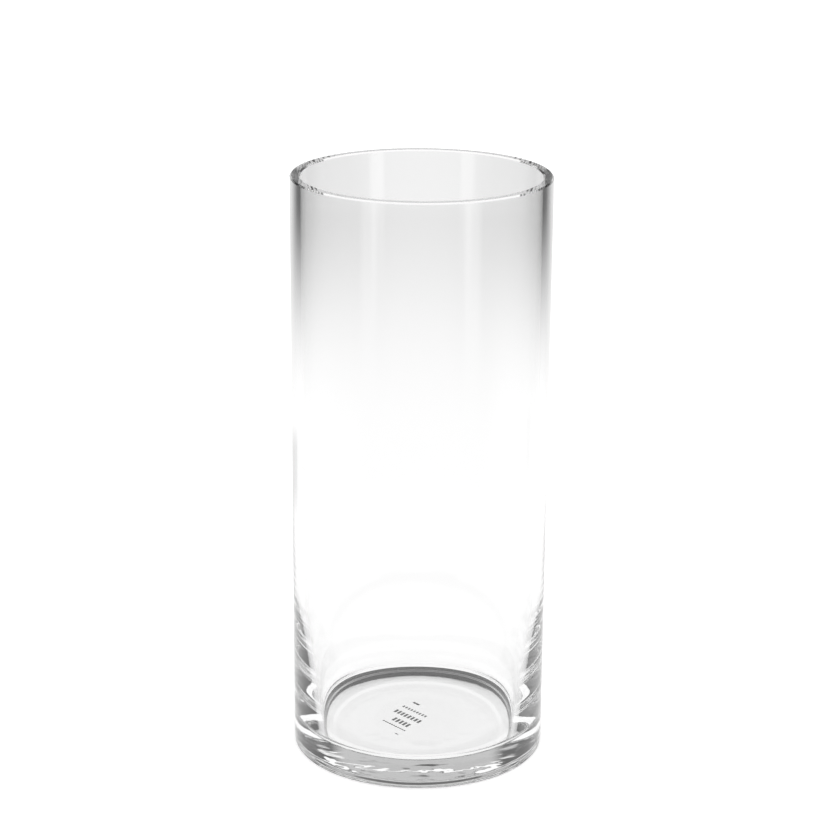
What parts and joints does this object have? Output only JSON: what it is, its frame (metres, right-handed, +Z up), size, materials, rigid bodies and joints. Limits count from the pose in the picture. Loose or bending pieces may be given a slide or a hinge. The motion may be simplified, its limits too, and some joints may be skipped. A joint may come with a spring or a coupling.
{
  "type": "glass cylinder vase",
  "caption": "Tall straight clear glass cylinder vase with a flat polished rim, an open round mouth, a wall that thickens towards the foot, and a heavy base with a rounded inside corner.",
  "frame": {"origin": "on the cylinder's axis, in the plane that the vase stands on", "axes": "+Z up along the cylinder's axis, out of the mouth; X and Y are alike, because the vase is round"},
  "size_m": [0.1, 0.1, 0.232],
  "materials": {
    "clear_glass": "clear, fire-polished, with a ground and polished rim",
    "label_film": "clear film with dark printed bars"
  },
  "bodies": {
    "root": {"vase_body": "clear_glass", "base_label": "label_film"}
  },
  "joints": []
}
